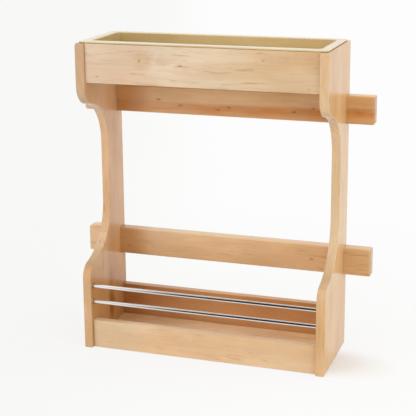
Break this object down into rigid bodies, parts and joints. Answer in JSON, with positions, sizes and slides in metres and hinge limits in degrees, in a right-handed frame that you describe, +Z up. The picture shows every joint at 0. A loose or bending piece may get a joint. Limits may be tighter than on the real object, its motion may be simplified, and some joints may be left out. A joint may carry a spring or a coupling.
{
  "type": "spice rack",
  "caption": "Door-mounted maple spice rack: ogee-cut side panels, two mounting rails, a lower tray guarded by chromed rods and a lift-out bin in the top frame.",
  "frame": {"origin": "centre of the footprint, at the height of the bottom edges the rack stands on", "axes": "+Z up, +X to the right seen from the front, +Y to the back, where the rails meet the cabinet door"},
  "size_m": [0.441, 0.133, 0.4533],
  "materials": {
    "maple_panel": "clear-lacquered maple, vertical grain, satin gloss",
    "maple_board": "clear-lacquered maple, grain along the width, satin gloss",
    "maple_floor": "clear-lacquered maple, grain along the width, satin gloss",
    "maple_rail": "clear-lacquered maple, grain along the length, satin gloss",
    "chrome_rod": "bright chromed steel",
    "bin_polymer": "moulded almond polymer, soft sheen",
    "dowel_wood": "plain birch dowel",
    "screw_steel": "zinc-plated wood screw"
  },
  "bodies": {
    "rack_frame": {"left_side_panel": "maple_panel", "right_side_panel": "maple_panel", "upper_front_board": "maple_board", "upper_back_board": "maple_board", "lower_front_board": "maple_board", "lower_back_board": "maple_board", "tray_floor": "maple_floor", "upper_mounting_rail": "maple_rail", "lower_mounting_rail": "maple_rail", "upper_rod": "chrome_rod", "lower_rod": "chrome_rod", "upper_front_dowel_left_bottom": "dowel_wood", "upper_front_dowel_right_bottom": "dowel_wood", "upper_front_dowel_left_top": "dowel_wood", "upper_front_dowel_right_top": "dowel_wood", "upper_back_dowel_left_bottom": "dowel_wood", "upper_back_dowel_right_bottom": "dowel_wood", "upper_back_dowel_left_top": "dowel_wood", "upper_back_dowel_right_top": "dowel_wood", "lower_front_dowel_left_bottom": "dowel_wood", "lower_front_dowel_right_bottom": "dowel_wood", "lower_front_dowel_left_top": "dowel_wood", "lower_front_dowel_right_top": "dowel_wood", "lower_back_dowel_left_bottom": "dowel_wood", "lower_back_dowel_right_bottom": "dowel_wood", "lower_back_dowel_left_top": "dowel_wood", "lower_back_dowel_right_top": "dowel_wood", "tray_floor_dowel_left_front": "dowel_wood", "tray_floor_dowel_right_front": "dowel_wood", "tray_floor_dowel_left_back": "dowel_wood", "tray_floor_dowel_right_back": "dowel_wood", "upper_rail_screw_left": "screw_steel", "upper_rail_screw_right": "screw_steel", "lower_rail_screw_left": "screw_steel", "lower_rail_screw_right": "screw_steel"},
    "bin": {"removable_bin": "bin_polymer"}
  },
  "joints": [
    {"name": "bin_lift", "type": "slide", "parent": "rack_frame", "child": "bin", "axis": [0, 0, 1], "range_m": [0, 0.08]}
  ]
}
